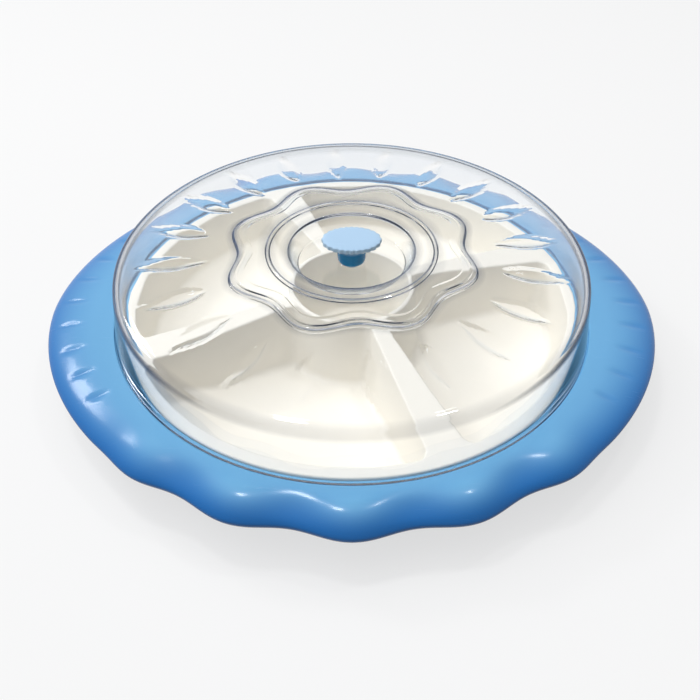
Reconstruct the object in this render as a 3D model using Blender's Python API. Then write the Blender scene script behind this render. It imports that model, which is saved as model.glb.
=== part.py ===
"""A dried fruit box: a round serving tray with two side ears and a scalloped brim, a lift-out insert with
four compartments and a round cup, and a clear domed lid with an oval knob.

Lengths are metres and +Z is up. The tray's foot stands on Z = 0 with its centre at the origin. The ears
point along X, and the front of the box faces -Y.
"""

import math

import bmesh
import bpy

# Turned pieces: straight facets around each one
TRAY_SEGMENTS = 96
INSERT_SEGMENTS = 72
CUP_SEGMENTS = 40
LID_SEGMENTS = 120
FASTENER_SEGMENTS = 24

# Fits between neighbouring pieces
TOUCH_GAP = 0.0003
SIDE_CLEARANCE = 0.0004
BOWL_CLEARANCE = 0.0009
INSERT_TO_LID_CLEARANCE = 0.0018
CUT_OVERRUN = 0.002

# Tray: a flat-bottomed bowl in the middle of a wide hollow brim
TRAY_WALL = 0.0024
TRAY_FLOOR = 0.0026
BRIM_HEIGHT = 0.038
INSERT_SEAT_DEPTH = 0.0035
LID_SEAT_DEPTH = 0.0014
BOWL_CORNER = 0.003
FOOT_RADIUS = 0.114
FOOT_WIDTH = 0.006
FOOT_HEIGHT = 0.0015
BRIM_WIDTH = 0.0226
BRIM_DROP = 0.0145
HEM_THICKNESS = 0.0020

# Tray outline: smooth ears at the two sides, scallops along the front and the back
EAR_REACH = 0.0174
EAR_LIFT = 0.0025
EAR_HALF_ANGLE = math.radians(82)
EAR_TAPER_POWER = 0.81
SCALLOP_PITCH_ANGLE = math.radians(21.3)
SCALLOP_HEIGHT = 0.0023
SCALLOP_START_ANGLE = math.radians(37)
SCALLOP_FULL_ANGLE = math.radians(55)

# Brim section from the seat's edge out to the hem: reach out, drop, and how much the outline moves it
BRIM_TOP_SHARES = (
    (0.00, 0.000, 0.00),
    (0.22, 0.015, 0.04),
    (0.42, 0.055, 0.22),
    (0.62, 0.150, 0.52),
    (0.79, 0.280, 0.78),
    (0.92, 0.430, 0.94),
    (1.00, 0.600, 1.00),
    (0.98, 0.750, 1.00),
    (0.92, 0.890, 1.00),
    (0.84, 0.980, 1.00),
)

# Insert: a thin moulding, hollow under its dividers
INSERT_WALL = 0.0018
INSERT_RIM_RADIUS = 0.1344
INSERT_RIM_WIDTH = 0.0064
INSERT_LIP_WIDTH = 0.0018
INSERT_FLOOR_LIFT = 0.0005
INSERT_EDGE_BEVEL = 0.0012
POCKET_COUNT = 4
FIRST_DIVIDER_ANGLE = math.radians(22)
DIVIDER_WIDTH_AT_CUP = 0.008
DIVIDER_WIDTH_AT_RIM = 0.0215
DIVIDER_RISE = 0.0100
WALL_DRAFT = math.radians(6)
POCKET_CORNER = 0.006
POCKET_FILLET = 0.004
CUP_RADIUS = 0.0340
CUP_RIM_WIDTH = 0.0025
CUP_RIM_LIFT = 0.0012
OUTER_ARC_STEPS = 14
INNER_ARC_STEPS = 6
CORNER_STEPS = 3
FILLET_STEPS = 2

# Lid: a clear dome with a petal ring, a lobed step and a round well for the knob
LID_WALL = 0.0020
LID_RIM_WALL = 0.0028
LID_RIM_HEIGHT = 0.0020
LID_SKIRT_HEIGHT = 0.0291
LID_SKIRT_LEAN = 0.0040
DOME_RISE = 0.0073
PETAL_COUNT = 20
PETAL_FIRST_ANGLE = math.radians(6)
PETAL_HALF_ANGLE = math.radians(3)
PETAL_DEPTH = 0.0012
LOBE_COUNT = 8
LOBE_DENT_ANGLE = math.radians(3)
LOBE_RADIUS = 0.0692
LOBE_HEIGHT = 0.0040
STEP_RISE = 0.0030
STEP_WIDTH = 0.0090
RING_RADIUS = 0.0479
RING_RISE = 0.0003
WELL_RADIUS = 0.0365
WELL_FLOOR_RADIUS = 0.0310
WELL_DEPTH = 0.0095
LID_HOLE_RADIUS = 0.0022

# Dome section from the skirt's top in to the lobed step: reach in, rise, and depth of the petal dents
DOME_SHARES = (
    (0.000, 0.00, 0.0),
    (0.007, 0.30, 0.0),
    (0.022, 0.52, 0.0),
    (0.060, 0.68, 0.0),
    (0.130, 0.77, 0.0),
    (0.290, 0.85, 0.0),
    (0.430, 0.90, 1.0),
    (0.700, 0.96, 1.0),
    (0.840, 0.98, 0.0),
)

# Lobed step: reach in across the step and rise
STEP_SHARES = ((0.00, 0.00), (0.25, 0.55), (0.60, 0.90), (1.00, 1.00))

# Knob: an oval head with a finely scalloped edge on a round neck
KNOB_HEAD_LENGTH = 0.0336
KNOB_HEAD_DEPTH = 0.0226
KNOB_HEAD_THICKNESS = 0.0034
KNOB_SCALLOP_COUNT = 24
KNOB_SCALLOP_HEIGHT = 0.0004
KNOB_HEIGHT = 0.0155
KNOB_NECK_RADIUS = 0.0078
KNOB_NECK_FLARE = 0.0010
KNOB_FOOT_ROUND = 0.0026
KNOB_BORE_RADIUS = 0.0021
KNOB_BORE_DEPTH = 0.0100

# Screw and washer that hold the knob from under the well
SCREW_SHANK_RADIUS = 0.0018
SCREW_LENGTH = 0.0125
SCREW_HEAD_RADIUS = 0.0036
SCREW_HEAD_HEIGHT = 0.0024
SCREW_SLOT_WIDTH = 0.0009
SCREW_SLOT_DEPTH = 0.0012
WASHER_RADIUS = 0.0050
WASHER_BORE_RADIUS = 0.0022
WASHER_THICKNESS = 0.0010

# Places that follow from the sizes above
INSERT_SEAT_Z = BRIM_HEIGHT - INSERT_SEAT_DEPTH
INSERT_SEAT_RADIUS = INSERT_RIM_RADIUS + SIDE_CLEARANCE
LID_SEAT_Z = BRIM_HEIGHT - LID_SEAT_DEPTH
LID_RIM_RADIUS = INSERT_RIM_RADIUS + INSERT_TO_LID_CLEARANCE + LID_RIM_WALL
LID_SEAT_RADIUS = LID_RIM_RADIUS + SIDE_CLEARANCE
BOWL_FLOOR_Z = FOOT_HEIGHT + TRAY_FLOOR
INSERT_BOTTOM_Z = BOWL_FLOOR_Z + INSERT_FLOOR_LIFT
POCKET_FLOOR_Z = INSERT_BOTTOM_Z + INSERT_WALL
RIDGE_TOP_Z = BRIM_HEIGHT + DIVIDER_RISE
CUP_RIM_Z = RIDGE_TOP_Z + CUP_RIM_LIFT
CUP_OUTER_RADIUS = CUP_RADIUS + CUP_RIM_WIDTH
POCKET_RIM_RADIUS = INSERT_RIM_RADIUS - INSERT_RIM_WIDTH
LID_BOTTOM_Z = LID_SEAT_Z + TOUCH_GAP
SKIRT_TOP_Z = LID_BOTTOM_Z + LID_SKIRT_HEIGHT
SKIRT_TOP_RADIUS = LID_RIM_RADIUS - LID_SKIRT_LEAN
DOME_TOP_Z = SKIRT_TOP_Z + DOME_RISE
STEP_TOP_Z = DOME_TOP_Z + STEP_RISE
RING_Z = STEP_TOP_Z + RING_RISE
WELL_FLOOR_Z = STEP_TOP_Z - WELL_DEPTH
KNOB_BOTTOM_Z = WELL_FLOOR_Z + TOUCH_GAP
WASHER_TOP_Z = WELL_FLOOR_Z - LID_WALL - TOUCH_GAP
SCREW_SEAT_Z = WASHER_TOP_Z - WASHER_THICKNESS - TOUCH_GAP

QUARTER_TURN = math.pi / 2
HALF_TURN = math.pi
FULL_TURN = math.tau


def clear_scene():
    """Remove every object, so that the file builds the box and nothing else."""
    for item in list(bpy.data.objects):
        bpy.data.objects.remove(item, do_unlink=True)


def make_material(name, color, roughness, metallic=0.0, transmission=0.0):
    """Return a Principled material."""
    material = bpy.data.materials.new(name)
    material.use_nodes = True
    shader = material.node_tree.nodes["Principled BSDF"]
    shader.inputs["Base Color"].default_value = (*color, 1.0)
    shader.inputs["Roughness"].default_value = roughness
    shader.inputs["Metallic"].default_value = metallic
    shader.inputs["Transmission Weight"].default_value = transmission
    return material


def finish_object(name, mesh_data, material):
    """Turn bmesh data into a smooth-shaded object with its material."""
    bmesh.ops.recalc_face_normals(mesh_data, faces=mesh_data.faces)
    mesh = bpy.data.meshes.new(name)
    mesh_data.to_mesh(mesh)
    mesh_data.free()
    mesh.materials.append(material)
    mesh.shade_smooth()
    mesh.set_sharp_from_angle(angle=math.radians(35))
    item = bpy.data.objects.new(name, mesh)
    bpy.context.collection.objects.link(item)
    return item


def turned_mesh(sections, segments, closed):
    """Sweep a section round the Z axis.

    Each section is a function that takes an angle and returns a radius and a height. A closed section is a
    ring, and an open one gets a flat cap on its first and its last loop.
    """
    mesh_data = bmesh.new()
    loops = []
    for section in sections:
        loop = []
        for step in range(segments):
            angle = FULL_TURN * step / segments
            radius, height = section(angle)
            loop.append(mesh_data.verts.new((radius * math.cos(angle), radius * math.sin(angle), height)))
        loops.append(loop)
    pairs = list(zip(loops, loops[1:]))
    if closed:
        pairs.append((loops[-1], loops[0]))
    else:
        mesh_data.faces.new(loops[0])
        mesh_data.faces.new(loops[-1])
    for first, second in pairs:
        for step in range(segments):
            after = (step + 1) % segments
            mesh_data.faces.new((first[step], first[after], second[after], second[step]))
    return mesh_data


def ring(radius, height):
    """A section point that is the same at every angle."""
    return lambda angle: (radius, height)


def cut(item, cutter):
    """Subtract a cutter from an object with an exact Boolean and remove the cutter."""
    modifier = item.modifiers.new("cut", "BOOLEAN")
    modifier.operation = "DIFFERENCE"
    modifier.object = cutter
    depsgraph = bpy.context.evaluated_depsgraph_get()
    mesh = bpy.data.meshes.new_from_object(item.evaluated_get(depsgraph))
    item.modifiers.clear()
    item.data = mesh
    bpy.data.objects.remove(cutter, do_unlink=True)


def tidy_after_cuts(item, material):
    """Shade a cut object and leave it with its one material."""
    item.data.materials.clear()
    item.data.materials.append(material)
    item.data.shade_smooth()
    item.data.set_sharp_from_angle(angle=math.radians(35))


def smooth_share(value):
    """Ease from 0 to 1."""
    value = min(max(value, 0.0), 1.0)
    return value * value * (3.0 - 2.0 * value)


def angle_from_side(angle):
    """The angle to the nearer of the two ears' middles."""
    return abs((angle + QUARTER_TURN) % HALF_TURN - QUARTER_TURN)


def ear_share(angle):
    """How much of the ear there is at an angle, from 0 to 1."""
    turn = min(angle_from_side(angle) / EAR_HALF_ANGLE, 1.0)
    return math.cos(QUARTER_TURN * turn ** EAR_TAPER_POWER) ** 2


def outline_growth(angle):
    """How far the brim's outline stands out from its plain circle at an angle."""
    side_angle = angle_from_side(angle)
    fade_angle = SCALLOP_FULL_ANGLE - SCALLOP_START_ANGLE
    fade = smooth_share((side_angle - SCALLOP_START_ANGLE) / fade_angle)
    wave = math.cos(FULL_TURN * (QUARTER_TURN - side_angle) / SCALLOP_PITCH_ANGLE)
    scallop = SCALLOP_HEIGHT * fade * wave
    return EAR_REACH * ear_share(angle) + scallop


def brim_point(radius, height, growth_share):
    """A section point that follows the brim's outline and the ears' lift by a share of them."""
    return lambda angle: (radius + growth_share * outline_growth(angle),
                          height + growth_share * EAR_LIFT * ear_share(angle))


def brim_skins():
    """Sections of the brim's outer skin from the seat's edge to the hem, and of its underside back."""
    outer = []
    for reach, drop, growth in BRIM_TOP_SHARES:
        outer.append(brim_point(LID_SEAT_RADIUS + BRIM_WIDTH * reach, BRIM_HEIGHT - BRIM_DROP * drop, growth))
    under = []
    last = len(BRIM_TOP_SHARES) - 1
    for index in range(last, 0, -2):
        before = BRIM_TOP_SHARES[index - 1]
        after = BRIM_TOP_SHARES[min(index + 1, last)]
        along_reach = BRIM_WIDTH * (after[0] - before[0])
        along_drop = BRIM_DROP * (after[1] - before[1])
        length = math.hypot(along_reach, along_drop)
        reach, drop, growth = BRIM_TOP_SHARES[index]
        wall = HEM_THICKNESS if index == last else TRAY_WALL
        radius = LID_SEAT_RADIUS + BRIM_WIDTH * reach - wall * along_drop / length
        height = BRIM_HEIGHT - BRIM_DROP * drop - wall * along_reach / length
        under.append(brim_point(radius, height, growth))
    return outer, under


def pocket_inset(height):
    """How far the draft has drawn the pocket walls in at a height, measured from the cup's rim."""
    return (CUP_RIM_Z - height) * math.tan(WALL_DRAFT)


def insert_wall_radius(height):
    """Outside radius of the insert's round wall at a height."""
    return POCKET_RIM_RADIUS - (BRIM_HEIGHT - height) * math.tan(WALL_DRAFT) + INSERT_WALL


def make_serving_tray(material):
    """The tray: bowl, two seats, hollow brim with ears and scallops, and a foot ring."""
    def bowl_radius(height):
        return insert_wall_radius(height) + BOWL_CLEARANCE

    outer, under = brim_skins()
    insert_seat_underside_z = INSERT_SEAT_Z - TRAY_WALL
    lid_seat_underside_z = LID_SEAT_Z - TRAY_WALL
    corner_z = BOWL_FLOOR_Z + BOWL_CORNER
    outside_corner = BOWL_CORNER + TRAY_WALL
    outside_corner_z = FOOT_HEIGHT + outside_corner
    insert_riser_radius = INSERT_SEAT_RADIUS + TRAY_WALL
    lid_riser_radius = LID_SEAT_RADIUS + TRAY_WALL
    brim_underside_z = BRIM_HEIGHT - TRAY_WALL
    sections = [
        ring(bowl_radius(BOWL_FLOOR_Z) - BOWL_CORNER, BOWL_FLOOR_Z),
        ring(bowl_radius(corner_z) - BOWL_CORNER * (1 - math.sin(HALF_TURN / 4)),
             corner_z - BOWL_CORNER * math.cos(HALF_TURN / 4)),
        ring(bowl_radius(corner_z), corner_z),
        ring(bowl_radius(INSERT_SEAT_Z), INSERT_SEAT_Z),
        ring(INSERT_SEAT_RADIUS, INSERT_SEAT_Z),
        ring(INSERT_SEAT_RADIUS, LID_SEAT_Z),
        ring(LID_SEAT_RADIUS, LID_SEAT_Z),
        *outer,
        *under,
        ring(lid_riser_radius, brim_underside_z),
        ring(lid_riser_radius, lid_seat_underside_z),
        ring(insert_riser_radius, lid_seat_underside_z),
        ring(insert_riser_radius, insert_seat_underside_z),
        ring(bowl_radius(insert_seat_underside_z) + TRAY_WALL, insert_seat_underside_z),
        ring(bowl_radius(outside_corner_z) + TRAY_WALL, outside_corner_z),
        ring(bowl_radius(outside_corner_z) + TRAY_WALL - outside_corner * (1 - math.sin(HALF_TURN / 4)),
             outside_corner_z - outside_corner * math.cos(HALF_TURN / 4)),
        ring(bowl_radius(FOOT_HEIGHT) + TRAY_WALL - outside_corner, FOOT_HEIGHT),
        ring(FOOT_RADIUS, FOOT_HEIGHT),
        ring(FOOT_RADIUS, 0),
        ring(FOOT_RADIUS - FOOT_WIDTH, 0),
        ring(FOOT_RADIUS - FOOT_WIDTH, FOOT_HEIGHT),
    ]
    return finish_object("serving_tray", turned_mesh(sections, TRAY_SEGMENTS, closed=False), material)


def arc_points(center, radius, start, end, steps):
    """Points along an arc, both ends included."""
    points = []
    for step in range(steps + 1):
        angle = start + (end - start) * step / steps
        points.append((center[0] + radius * math.cos(angle), center[1] + radius * math.sin(angle)))
    return points


def pocket_outline(inset, corner):
    """Outline of one pocket round its own +X axis, drawn in by an inset, with rounded corners."""
    half_pitch = HALF_TURN / POCKET_COUNT
    inner_radius = CUP_OUTER_RADIUS + inset
    rim_inset = pocket_inset(BRIM_HEIGHT)
    outer_radius = POCKET_RIM_RADIUS + rim_inset - inset
    cup_half_width = DIVIDER_WIDTH_AT_CUP / 2
    rim_half_width = DIVIDER_WIDTH_AT_RIM / 2 - rim_inset
    spread = math.atan((rim_half_width - cup_half_width) / (POCKET_RIM_RADIUS - CUP_OUTER_RADIUS))
    edge_angle = half_pitch - spread
    axis_half_width = cup_half_width - CUP_OUTER_RADIUS * math.tan(spread)
    edge_distance = axis_half_width * math.cos(spread) + inset + corner
    normal = (-math.sin(edge_angle), math.cos(edge_angle))

    def corner_center(distance):
        along = math.sqrt(distance ** 2 - edge_distance ** 2)
        return (along * math.cos(edge_angle) - edge_distance * normal[0],
                along * math.sin(edge_angle) - edge_distance * normal[1])

    outer_center = corner_center(outer_radius - corner)
    inner_center = corner_center(inner_radius + corner)
    outer_turn = math.atan2(outer_center[1], outer_center[0])
    inner_turn = math.atan2(inner_center[1], inner_center[0])
    normal_turn = edge_angle + QUARTER_TURN
    upper = arc_points((0, 0), outer_radius, 0, outer_turn, OUTER_ARC_STEPS // 2)
    upper += arc_points(outer_center, corner, outer_turn, normal_turn, CORNER_STEPS)[1:]
    upper += arc_points(inner_center, corner, normal_turn, inner_turn + HALF_TURN, CORNER_STEPS)
    upper += arc_points((0, 0), inner_radius, inner_turn, 0, INNER_ARC_STEPS // 2)[1:]
    lower = [(x, -y) for x, y in reversed(upper[1:-1])]
    return upper + lower


def pocket_levels(outset, bottom_z):
    """Heights, insets and corner radii of a pocket's levels, top to bottom, grown outward by an outset."""
    fillet = POCKET_FILLET + outset
    floor_z = POCKET_FLOOR_Z - outset
    top_z = CUP_RIM_Z + CUT_OVERRUN
    levels = [(top_z, pocket_inset(top_z) - outset, POCKET_CORNER + outset)]
    for step in range(FILLET_STEPS + 1):
        turn = QUARTER_TURN * step / FILLET_STEPS
        height = floor_z + fillet * (1 - math.sin(turn))
        draw_in = fillet * (1 - math.cos(turn))
        levels.append((height, pocket_inset(height) - outset + draw_in, POCKET_CORNER + outset - draw_in))
    if bottom_z < floor_z:
        levels.append((bottom_z, *levels[-1][1:]))
    return levels


def make_pocket_cutter(center_angle, outset, bottom_z):
    """The space of one pocket, or with an outset that space and its walls."""
    mesh_data = bmesh.new()
    loops = []
    for height, inset, corner in pocket_levels(outset, bottom_z):
        loop = []
        for x, y in pocket_outline(inset, corner):
            turned_x = x * math.cos(center_angle) - y * math.sin(center_angle)
            turned_y = x * math.sin(center_angle) + y * math.cos(center_angle)
            loop.append(mesh_data.verts.new((turned_x, turned_y, height)))
        loops.append(loop)
    mesh_data.faces.new(loops[0])
    mesh_data.faces.new(loops[-1])
    count = len(loops[0])
    for first, second in zip(loops, loops[1:]):
        for step in range(count):
            after = (step + 1) % count
            mesh_data.faces.new((first[step], first[after], second[after], second[step]))
    return finish_cutter(mesh_data)


def make_cup_cutter(outset, bottom_z):
    """The space of the round cup in the middle, or with an outset that space and its wall."""
    sections = [ring(CUP_RADIUS - inset, height) for height, inset, corner in pocket_levels(outset, bottom_z)]
    return finish_cutter(turned_mesh(sections, CUP_SEGMENTS, closed=False))


def finish_cutter(mesh_data):
    """A helper object that never shows."""
    material = bpy.data.materials.get("helper") or bpy.data.materials.new("helper")
    cutter = finish_object("helper", mesh_data, material)
    cutter.hide_render = True
    cutter.display_type = "WIRE"
    return cutter


def cut_compartments(item, outset, bottom_z):
    """Cut the four pockets and the cup out of an object."""
    for index in range(POCKET_COUNT):
        center_angle = FIRST_DIVIDER_ANGLE + FULL_TURN * (index + 0.5) / POCKET_COUNT
        cut(item, make_pocket_cutter(center_angle, outset, bottom_z))
    cut(item, make_cup_cutter(outset, bottom_z))


def make_compartment_insert(material):
    """The insert: a rim that hangs on the seat, four pockets, and ridges that climb to the cup."""
    flange_underside_z = BRIM_HEIGHT - INSERT_WALL
    lip_radius = INSERT_RIM_RADIUS - INSERT_LIP_WIDTH
    bevel_z = INSERT_BOTTOM_Z + INSERT_EDGE_BEVEL
    body_sections = [
        ring(insert_wall_radius(INSERT_BOTTOM_Z) - INSERT_EDGE_BEVEL, INSERT_BOTTOM_Z),
        ring(insert_wall_radius(bevel_z), bevel_z),
        ring(insert_wall_radius(flange_underside_z), flange_underside_z),
        ring(lip_radius, flange_underside_z),
        ring(lip_radius, INSERT_SEAT_Z + TOUCH_GAP),
        ring(INSERT_RIM_RADIUS, INSERT_SEAT_Z + TOUCH_GAP),
        ring(INSERT_RIM_RADIUS, BRIM_HEIGHT),
        ring(POCKET_RIM_RADIUS, BRIM_HEIGHT),
        ring(CUP_OUTER_RADIUS + CUP_RIM_LIFT, RIDGE_TOP_Z),
        ring(CUP_OUTER_RADIUS, CUP_RIM_Z),
    ]
    insert = finish_object(
        "compartment_insert", turned_mesh(body_sections, INSERT_SEGMENTS, closed=False), material)
    cut_compartments(insert, outset=0, bottom_z=POCKET_FLOOR_Z)

    core_bottom_z = INSERT_BOTTOM_Z - CUT_OVERRUN
    core_sections = [
        ring(insert_wall_radius(core_bottom_z) - INSERT_WALL, core_bottom_z),
        ring(POCKET_RIM_RADIUS, flange_underside_z),
        ring(CUP_OUTER_RADIUS, RIDGE_TOP_Z - INSERT_WALL),
    ]
    core = finish_cutter(turned_mesh(core_sections, INSERT_SEGMENTS, closed=False))
    cut_compartments(core, outset=INSERT_WALL, bottom_z=core_bottom_z - CUT_OVERRUN)
    cut(insert, core)
    tidy_after_cuts(insert, material)
    return insert


def petal_dent(angle):
    """How deep the petal ring is dented at an angle, from 0 to 1."""
    pitch = FULL_TURN / PETAL_COUNT
    from_center = abs((angle - PETAL_FIRST_ANGLE + pitch / 2) % pitch - pitch / 2)
    return max(0.0, math.cos(QUARTER_TURN * min(from_center / PETAL_HALF_ANGLE, 1.0)))


def lobe_growth(angle):
    """How far the lobed step stands out from its mean circle at an angle."""
    return -LOBE_HEIGHT * math.cos(LOBE_COUNT * (angle - LOBE_DENT_ANGLE))


def lid_sections(offset, dome_shares, step_shares):
    """Lid sections from the skirt's top in to the well's floor, moved down and in by an offset."""
    def dome_section(reach_share, rise_share, dent_share):
        height = SKIRT_TOP_Z - offset + DOME_RISE * rise_share
        start_radius = SKIRT_TOP_RADIUS - offset

        def section(angle):
            end_radius = LOBE_RADIUS + lobe_growth(angle)
            radius = start_radius + (end_radius - start_radius) * reach_share
            return (radius, height - PETAL_DEPTH * dent_share * petal_dent(angle))
        return section

    def step_section(reach_share, rise_share):
        height = DOME_TOP_Z - offset + STEP_RISE * rise_share
        radius = LOBE_RADIUS - STEP_WIDTH * reach_share
        return lambda angle: (radius + lobe_growth(angle), height)

    sections = [dome_section(*shares) for shares in dome_shares]
    sections += [step_section(*shares) for shares in step_shares]
    sections += [
        ring(RING_RADIUS, RING_Z - offset),
        ring(WELL_RADIUS, STEP_TOP_Z - offset),
        ring(WELL_FLOOR_RADIUS, WELL_FLOOR_Z - offset),
        ring(LID_HOLE_RADIUS, WELL_FLOOR_Z - offset),
    ]
    return sections


def make_lid(material):
    """The clear lid: a rim in the tray's seat, a steep skirt, the dome and the knob's well."""
    rim_inner_radius = LID_RIM_RADIUS - LID_RIM_WALL
    rim_top_z = LID_BOTTOM_Z + LID_RIM_HEIGHT
    lean = LID_SKIRT_LEAN * LID_RIM_HEIGHT / LID_SKIRT_HEIGHT
    inner_dome_shares = [(reach, rise, 0.0) for reach, rise, dent in DOME_SHARES[::2]]
    sections = [
        ring(rim_inner_radius, LID_BOTTOM_Z),
        ring(LID_RIM_RADIUS, LID_BOTTOM_Z),
        ring(LID_RIM_RADIUS - lean, rim_top_z),
        *lid_sections(0, DOME_SHARES, STEP_SHARES),
        *reversed(lid_sections(LID_WALL, inner_dome_shares, STEP_SHARES[::3])),
        ring(rim_inner_radius, rim_top_z),
    ]
    return finish_object("lid", turned_mesh(sections, LID_SEGMENTS, closed=True), material)


def make_knob(material):
    """The knob: a round neck that stands in the well and an oval, finely scalloped head."""
    top_z = KNOB_BOTTOM_Z + KNOB_HEIGHT
    head_bottom_z = top_z - KNOB_HEAD_THICKNESS
    bore_top_z = KNOB_BOTTOM_Z + KNOB_BORE_DEPTH
    head_round = KNOB_HEAD_THICKNESS / 4
    segments = KNOB_SCALLOP_COUNT * 2

    def head_section(draw_in, height):
        half_length = KNOB_HEAD_LENGTH / 2 - draw_in
        half_depth = KNOB_HEAD_DEPTH / 2 - draw_in

        def section(angle):
            oval = 1 / math.hypot(math.cos(angle) / half_length, math.sin(angle) / half_depth)
            return (oval + KNOB_SCALLOP_HEIGHT * math.cos(KNOB_SCALLOP_COUNT * angle), height)
        return section

    sections = [
        ring(KNOB_BORE_RADIUS, bore_top_z),
        ring(KNOB_BORE_RADIUS, KNOB_BOTTOM_Z),
        ring(KNOB_NECK_RADIUS - KNOB_FOOT_ROUND, KNOB_BOTTOM_Z),
        ring(KNOB_NECK_RADIUS - KNOB_FOOT_ROUND / 4, KNOB_BOTTOM_Z + KNOB_FOOT_ROUND / 3),
        ring(KNOB_NECK_RADIUS, KNOB_BOTTOM_Z + KNOB_FOOT_ROUND),
        ring(KNOB_NECK_RADIUS + KNOB_NECK_FLARE, head_bottom_z),
        head_section(head_round, head_bottom_z),
        head_section(0, head_bottom_z + head_round),
        head_section(0, top_z - head_round),
        head_section(head_round, top_z),
    ]
    return finish_object("knob", turned_mesh(sections, segments, closed=False), material)


def make_knob_screw(material):
    """The slotted screw that runs up through the washer and the lid into the knob's neck."""
    head_bottom_z = SCREW_SEAT_Z - SCREW_HEAD_HEIGHT
    head_edge = SCREW_HEAD_HEIGHT / 2
    tip_z = SCREW_SEAT_Z + SCREW_LENGTH
    tip_bevel = SCREW_SHANK_RADIUS / 2
    sections = [
        ring(SCREW_SHANK_RADIUS - tip_bevel, tip_z),
        ring(SCREW_SHANK_RADIUS, tip_z - tip_bevel),
        ring(SCREW_SHANK_RADIUS, SCREW_SEAT_Z),
        ring(SCREW_HEAD_RADIUS, SCREW_SEAT_Z),
        ring(SCREW_HEAD_RADIUS, SCREW_SEAT_Z - head_edge),
        ring(SCREW_HEAD_RADIUS - head_edge, head_bottom_z),
    ]
    screw = finish_object("knob_screw", turned_mesh(sections, FASTENER_SEGMENTS, closed=False), material)
    slot_data = bmesh.new()
    bmesh.ops.create_cube(slot_data, size=1)
    slot_height = SCREW_SLOT_DEPTH + CUT_OVERRUN
    for corner in slot_data.verts:
        corner.co.x *= SCREW_HEAD_RADIUS * 2 + CUT_OVERRUN
        corner.co.y *= SCREW_SLOT_WIDTH
        corner.co.z = head_bottom_z + SCREW_SLOT_DEPTH + slot_height * (corner.co.z - 0.5)
    cut(screw, finish_cutter(slot_data))
    tidy_after_cuts(screw, material)
    return screw


def make_knob_washer(material):
    """The flat washer between the screw's head and the lid."""
    washer_bottom_z = WASHER_TOP_Z - WASHER_THICKNESS
    sections = [
        ring(WASHER_BORE_RADIUS, WASHER_TOP_Z),
        ring(WASHER_RADIUS, WASHER_TOP_Z),
        ring(WASHER_RADIUS, washer_bottom_z),
        ring(WASHER_BORE_RADIUS, washer_bottom_z),
    ]
    return finish_object("knob_washer", turned_mesh(sections, FASTENER_SEGMENTS, closed=True), material)


def main():
    """Build the whole box."""
    clear_scene()
    blue = make_material("blue_plastic", (0.05, 0.32, 0.66), 0.22)
    light_blue = make_material("light_blue_plastic", (0.25, 0.52, 0.80), 0.28)
    white = make_material("warm_white_plastic", (0.90, 0.87, 0.80), 0.40)
    clear = make_material("clear_plastic", (0.96, 0.97, 0.98), 0.04, transmission=1.0)
    steel = make_material("bright_steel", (0.62, 0.62, 0.61), 0.30, metallic=1.0)
    make_serving_tray(blue)
    make_compartment_insert(white)
    make_lid(clear)
    make_knob(light_blue)
    make_knob_screw(steel)
    make_knob_washer(steel)


main()
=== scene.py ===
# %% [markdown]
# A round box for dried fruit: a blue serving tray with two ears and a scalloped brim, a loose white insert
# with four compartments and a cup, and a clear lid with an oval knob.
#
# The solids already exist, so this lesson dresses them. Nearly every piece here is turned: a profile swept
# once round an axis, then pushed in and out by a rule that depends on the angle. That is what Geometry Nodes
# are good at, so one way of working serves the tray, the insert, the lid and the knob.
#
# All lengths are metres.

import math

import bmesh
import bpy
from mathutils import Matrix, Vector


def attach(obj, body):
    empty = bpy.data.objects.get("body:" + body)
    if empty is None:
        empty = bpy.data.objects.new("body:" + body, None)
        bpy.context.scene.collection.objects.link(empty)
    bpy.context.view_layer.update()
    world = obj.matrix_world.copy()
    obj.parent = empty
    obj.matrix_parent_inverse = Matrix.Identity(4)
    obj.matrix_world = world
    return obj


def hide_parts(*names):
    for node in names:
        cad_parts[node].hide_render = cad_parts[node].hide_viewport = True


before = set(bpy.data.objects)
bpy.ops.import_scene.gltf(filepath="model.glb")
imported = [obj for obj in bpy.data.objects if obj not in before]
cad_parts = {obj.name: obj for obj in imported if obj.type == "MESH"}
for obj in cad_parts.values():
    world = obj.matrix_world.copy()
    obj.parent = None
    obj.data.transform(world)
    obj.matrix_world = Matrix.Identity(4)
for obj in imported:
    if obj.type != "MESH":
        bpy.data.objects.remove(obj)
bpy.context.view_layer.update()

# %% [markdown]
# Node trees read like plain sums when Python's own signs add the nodes. `Output` is an output of a node, and
# each `+`, `-`, `*`, `/` or `**` on it adds one Math node. `take` adds any other node and gives back one of
# its outputs. The world, the materials and the Geometry Nodes are all built this way.

# %% Node helpers
class Output:
    """An output of a node. Plain arithmetic on it adds Math nodes to its tree."""

    def __init__(self, socket):
        self.socket = socket

    def __add__(self, other):
        return work_out("ADD", self, other)

    def __sub__(self, other):
        return work_out("SUBTRACT", self, other)

    def __rsub__(self, other):
        return work_out("SUBTRACT", other, self)

    def __mul__(self, other):
        return work_out("MULTIPLY", self, other)

    def __truediv__(self, other):
        return work_out("DIVIDE", self, other)

    def __rtruediv__(self, other):
        return work_out("DIVIDE", other, self)

    def __pow__(self, other):
        return work_out("POWER", self, other)


def feed(node, feeds):
    """Feed a node's inputs with outputs of other nodes or with plain values."""
    for key, value in feeds.items():
        if isinstance(value, Output):
            node.id_data.links.new(value.socket, node.inputs[key])
        else:
            node.inputs[key].default_value = value


def add_node(tree, kind, feeds=None, **settings):
    """Add a node, set its properties and feed its inputs."""
    node = tree.nodes.new(kind)
    for name, value in settings.items():
        setattr(node, name, value)
    feed(node, feeds or {})
    return node


def take(tree, kind, feeds=None, output=0, **settings):
    """Add a node and take one of its outputs."""
    return Output(add_node(tree, kind, feeds, **settings).outputs[output])


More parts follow.
